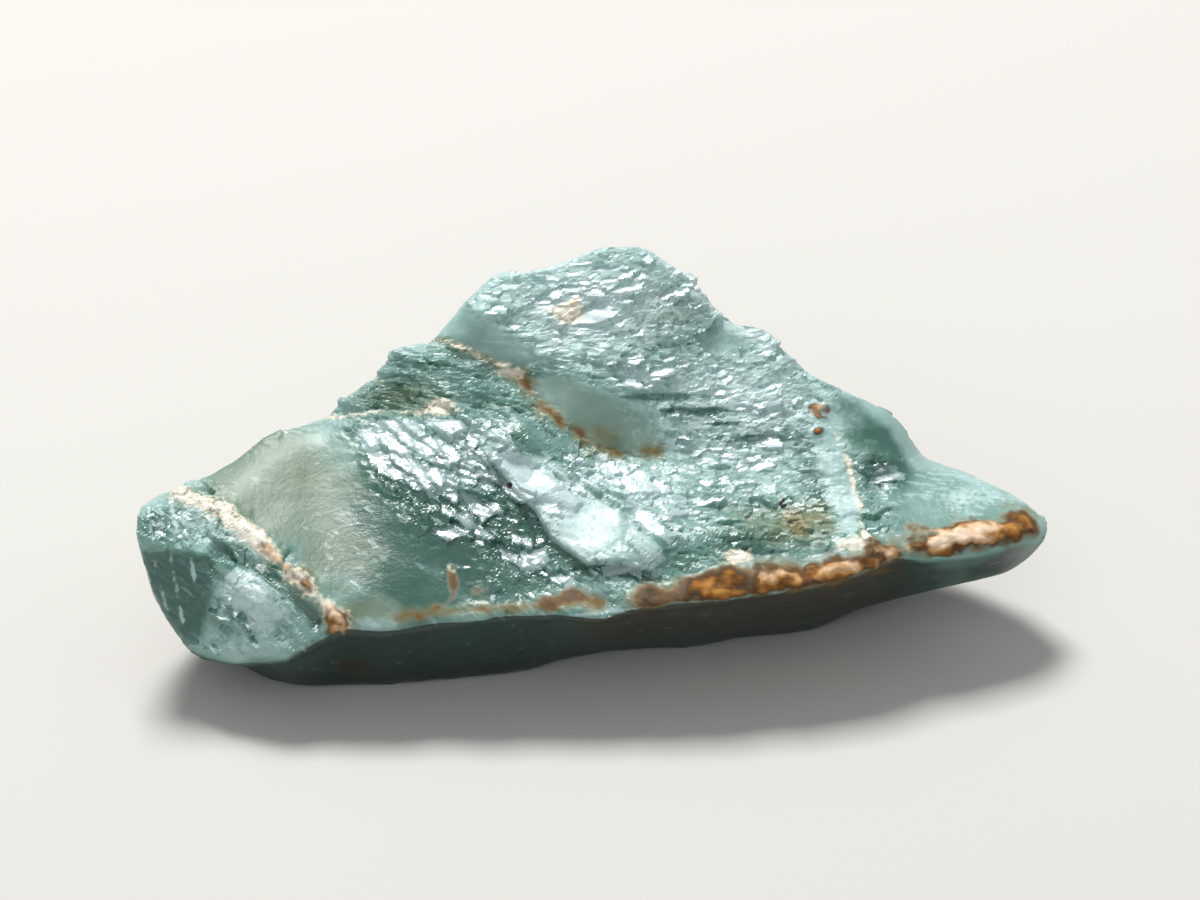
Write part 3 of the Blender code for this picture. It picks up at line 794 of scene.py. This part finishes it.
# What lies over the clear crystal, from the bottom layer up. Each has its mask on the skin, its colours from
# its edge to its middle, its roughness, the share of light it lets in, and the width of its grain in mm or a
# pattern's name. Its reach is that grain's value and the mask's together. The last four say at what reach it
# begins, how much further it covers as much as it ever does, how much that is, and how much further than its
# beginning it has its last colour.
Finish = namedtuple("Finish", "mask colours rough clear grain begins takes most last")
FINISHES = [
    # Clean crystal, dark because the eye sees deep into it, and painted shade in the lump's cleft and under
    # the flake's crisp edge.
    Finish("deep_and_shade", ("#578a7b", "#3b6f60"), 0.22, 0.45, 1.2, 0.65, 0.5, 0.9, 0.9),
    # Crystal full of fine cracks, which look milky. On the lower scoop and the peak, which lie away from the
    # lamp, and along the rim, where light shines through the thin edge, it is partly painted light.
    Finish("pale", ("#a5cbc3", "#c1dedb"), 0.46, 0.3, 0.8, 0.6, 0.5, 0.8, 1.0),
    # Fine level steps, which show as dark lines.
    Finish("lines", ("#68998d", "#44776c"), 0.2, 0.45, "runs", 1.03, 0.22, 0.8, 0.5),
    # Crystal with a rusty tint inside, which turns the blue-green olive.
    Finish("olive", ("#618463", "#6c8150"), 0.48, 0.4, 1.4, 0.65, 0.55, 0.78, 1.0),
    # Painted shade on the undercut front and underside, over the clear crystal's own dark bottle green.
    Finish("under", ("#0c4a35", "#053122"), 0.34, 0.5, 1.6, 0.9, 0.4, 0.97, 0.6),
    # Rust that has soaked into the front, brown, painted dark with the shade that lies on the front.
    Finish("shaded_stain", ("#35351a", "#2d1d0c"), 0.4, 0.3, 0.6, 0.85, 0.5, 0.9, 0.7),
    # Crushed crystal, which looks like frost. Along the peak's edge it is partly a painted glow of light
    # through the thin edge, and along the front edge a painted highlight.
    Finish("frost", ("#b5d4cf", "#deefef"), 0.36, 0.1, 0.12, 0.84, 0.34, 0.7, 0.6),
    # Single cells of cleavage, painted pale: partly frost of fresh breaks, partly a painted glint where they
    # catch the light.
    Finish("sparkle", ("#bfdeda", "#dff2f3"), 0.2, 0.2, "cells", 0.98, 0.06, 0.5, 0.4),
    # Treads of the cleavage, nearly mirrors, painted pale: partly frost of fresh breaks, partly a painted
    # highlight.
    Finish("tread", ("#c6e3e0", "#e4f5f8"), 0.15, 0.25, 0.12, 0.9, 0.12, 0.5, 0.6),
    # Thin yellow-brown rust that has seeped along cracks.
    Finish("rust", ("#8a8b58", "#75602c"), 0.4, 0.2, 0.5, 0.78, 0.5, 0.85, 0.9),
    # Earthy ochre around the crust, matt, going to a dark brown that is partly painted shade.
    Finish("ochre", ("#6e6022", "#7d5612", "#5a390a", "#311e05"), 0.8, 0.1, 0.42, 0.8, 0.45, 0.93, 1.0),
    # Chalky veins, cream and matt.
    Finish("cream", ("#d2c9ae", "#e0d6bf", "#f1ebde"), 0.6, 0.05, 0.12, 0.8, 0.28, 0.9, 0.6),
    # Lumpy iron-oxide crust, orange on its lumps and dark in its pores, the dark partly painted shade.
    Finish(
        "crust", ("#201404", "#362106", "#66400a", "#945c16", "#b28032"),
        0.95, 0.0, 0.3, 0.8, 0.34, 0.96, 0.78,
    ),
    # The crust's pale tops: a painted highlight where light falls on its lumps, with a few cream spots of
    # their own colour.
    Finish("pale_lit_tops", ("#bb8c54", "#d9b48a", "#f0d9c0"), 0.65, 0.0, 0.25, 0.72, 0.5, 0.9, 0.8),
    # Single dark grains.
    Finish("speck", ("#2b1510", "#140b08"), 0.4, 0.0, 0.1, 0.95, 0.1, 1.0, 0.5),
]


def colours_along(tree, value, stops):
    """Colours that follow a value, from (position, hex value) pairs."""
    band = add(tree, "ValToRGB", {}, {0: value})
    elements = band.color_ramp.elements
    while len(elements) < len(stops):
        elements.new(0.5)
    for element, (position, code) in zip(elements, stops):
        element.position = position
        element.color = colour(code)
    return band.outputs[0]


def cleavage_cells(tree, grain):
    """The cells that the cleavage breaks into, each with its own shade and its own tilt."""
    cells = add(tree, "TexVoronoi", {}, {"Vector": grain, "Scale": 1.0})
    shade = add(tree, "SeparateColor", {}, {0: cells.outputs["Color"]}).outputs[0]
    inside = add(tree, "VectorMath", {"operation": "SUBTRACT"}, {0: grain, 1: cells.outputs["Position"]})
    lean = add(tree, "VectorMath", {"operation": "SUBTRACT"}, {0: cells.outputs["Color"], 1: (0.5, 0.5, 0.5)})
    tilt = add(tree, "VectorMath", {"operation": "DOT_PRODUCT"}, {0: inside.outputs[0], 1: lean.outputs[0]})
    return shade, tilt.outputs["Value"]


def lay_finishes(tree, place, patterns, tint):
    """Lays every finish over the crystal. Gives the colour, the roughness and the share of light let in."""
    # The crystal's own roughness and share, before anything lies on it.
    rough = 0.36
    clear = 0.4
    for finish in FINISHES:
        mask = add(tree, "Attribute", {"attribute_name": finish.mask}, {}).outputs["Fac"]
        speckle = patterns.get(finish.grain) or add(
            tree, "TexNoise", {}, {"Vector": place, "Scale": 1 / (finish.grain * METRE), "Detail": 2.5}
        ).outputs[0]
        reach = add(tree, "Math", {"operation": "ADD"}, {0: speckle, 1: mask}).outputs[0]
        start = {0: reach, 1: finish.begins, 3: 0.0}
        full = finish.begins + finish.takes
        cover = add(tree, "MapRange", {}, {**start, 2: full, 4: finish.most}).outputs[0]
        depth = add(tree, "MapRange", {}, {**start, 2: finish.begins + finish.last, 4: 1.0}).outputs[0]
        last = len(finish.colours) - 1
        own = colours_along(tree, depth, [(index / last, code) for index, code in enumerate(finish.colours)])
        tint = add(tree, "Mix", {"data_type": "RGBA"}, {0: cover, 6: tint, 7: own}).outputs[2]
        rough = add(tree, "Mix", {}, {0: cover, 2: rough, 3: finish.rough}).outputs[0]
        clear = add(tree, "Mix", {}, {0: cover, 2: clear, 3: finish.clear}).outputs[0]
    return tint, rough, clear


def bumpy_skin(tree, place, broken, tilt):
    """Tilted cells where the stone is broken, and a fine roughness all over."""
    steep = add(tree, "MapRange", {}, {0: broken, 1: 0.15, 2: 1.0, 3: 0.0, 4: 0.6}).outputs[0]
    stepped = add(
        tree, "Bump", {}, {"Strength": steep, "Distance": CELL_BUMP_DEPTH * METRE, "Height": tilt}
    ).outputs[0]
    pits = add(
        tree, "TexNoise", {},
        {"Vector": place, "Scale": 1 / (SKIN_BUMP_WIDTH * METRE), "Detail": 4.0, "Roughness": 0.65},
    ).outputs[0]
    return add(
        tree, "Bump", {},
        {"Strength": 0.34, "Distance": SKIN_BUMP_DEPTH * METRE, "Height": pits, "Normal": stepped},
    ).outputs[0]


def raw_grandidierite():
    """Raw grandidierite, broken by hand.

    Glassy cleavage treads lie over a cloudy, see-through inside, which gives the eye depth and a soft
    blue-green glow. Clear crystal is plain transmission and absorption, and subsurface light stands for the
    veils in it.
    """
    material = bpy.data.materials.new("raw_grandidierite")
    material.use_nodes = True
    tree = material.node_tree
    tree.nodes.clear()
    place = add(tree, "TexCoord", {}, {}).outputs["Object"]
    grain = add(tree, "Attribute", {"attribute_name": "grain"}, {}).outputs["Vector"]
    broken = add(tree, "Attribute", {"attribute_name": "broken"}, {}).outputs["Fac"]
    shade, tilt = cleavage_cells(tree, grain)
    veil = add(
        tree, "TexNoise", {},
        {"Vector": place, "Scale": 1 / (VEIL_WIDTH * METRE), "Detail": 4.0, "Roughness": 0.65},
    ).outputs[0]
    body = colours_along(tree, veil, [(0.36, "#77a799"), (0.66, "#9ec7be")])
    drawn_out = add(tree, "VectorMath", {"operation": "MULTIPLY"}, {0: grain, 1: RUNS}).outputs[0]
    runs = add(tree, "TexNoise", {}, {"Vector": drawn_out, "Scale": 1.0, "Detail": 3.0}).outputs[0]
    tint, rough, clear = lay_finishes(tree, place, {"cells": shade, "runs": runs}, body)
    milky = add(tree, "Math", {"operation": "MULTIPLY"}, {0: clear, 1: 0.9}).outputs[0]
    shader = add(tree, "BsdfPrincipled", {}, {
        "Base Color": tint, "Roughness": rough, "IOR": 1.6, "Transmission Weight": clear,
        "Subsurface Weight": milky, "Subsurface Radius": (0.7, 1.0, 0.9), "Subsurface Scale": 0.9 * METRE,
        "Normal": bumpy_skin(tree, place, broken, tilt),
    })
    inside = add(tree, "VolumeAbsorption", {}, {"Color": colour("#9ad6c3"), "Density": 120.0})
    add(tree, "OutputMaterial", {}, {"Surface": shader.outputs[0], "Volume": inside.outputs[0]})
    return material


def pale_board():
    """Plain matt board under the stone, which gives the eye a soft shadow and a pale, even ground."""
    material = bpy.data.materials.new("pale_matt_board")
    material.use_nodes = True
    shader = material.node_tree.nodes["Principled BSDF"]
    shader.inputs["Base Color"].default_value = colour("#c6c3bd")
    shader.inputs["Roughness"].default_value = 0.9
    return material


# The studio


def make_floor():
    mesh = bmesh.new()
    bmesh.ops.create_grid(mesh, x_segments=1, y_segments=1, size=3.0)
    data = bpy.data.meshes.new("floor")
    mesh.to_mesh(data)
    mesh.free()
    data.materials.append(pale_board())
    floor = bpy.data.objects.new("floor", data)
    bpy.context.scene.collection.objects.link(floor)


def make_light(name, towards, distance, size, watts):
    """A square soft light, which stands in the direction towards from the stone."""
    data = bpy.data.lights.new(name, "AREA")
    data.size = size
    data.energy = watts
    light = bpy.data.objects.new(name, data)
    place = Vector(unit(towards)) * distance
    light.location = place
    light.rotation_euler = place.to_track_quat("Z", "Y").to_euler()
    bpy.context.scene.collection.objects.link(light)


def make_studio():
    scene = bpy.context.scene
    scene.view_settings.view_transform = "Standard"
    world = bpy.data.worlds.new("soft_room")
    world.use_nodes = True
    world.node_tree.nodes["Background"].inputs["Color"].default_value = colour("#e9eef2")
    world.node_tree.nodes["Background"].inputs["Strength"].default_value = 0.48
    scene.world = world
    make_light("soft_top", (-0.15, 0.48, 0.86), 0.24, 0.07, 0.7)
    make_light("soft_front", (-0.3, -0.8, 0.75), 0.35, 0.3, 0.22)
    make_floor()


def make_camera():
    """A long lens that looks down on the stone at the photograph's angle."""
    data = bpy.data.cameras.new("camera")
    data.sensor_width = 36.0
    data.lens = 374.0
    data.clip_start = 0.01
    camera = bpy.data.objects.new("camera", data)
    middle = np.array([0.19, FOOT_LINE, 0.0]) + 5.72 * FACE_UP
    spot = (middle + 300 * FACE_OUT) * METRE
    camera.matrix_world = Matrix([
        (1, FACE_UP[0], FACE_OUT[0], spot[0]),
        (0, FACE_UP[1], FACE_OUT[1], spot[1]),
        (0, FACE_UP[2], FACE_OUT[2], spot[2]),
        (0, 0, 0, 1),
    ])
    bpy.context.scene.collection.objects.link(camera)
    bpy.context.scene.camera = camera


make_camera()
make_studio()
stone = make_stone()
stone.data.materials.clear()
stone.data.materials.append(raw_grandidierite())
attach(stone, "root")
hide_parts("grandidierite")
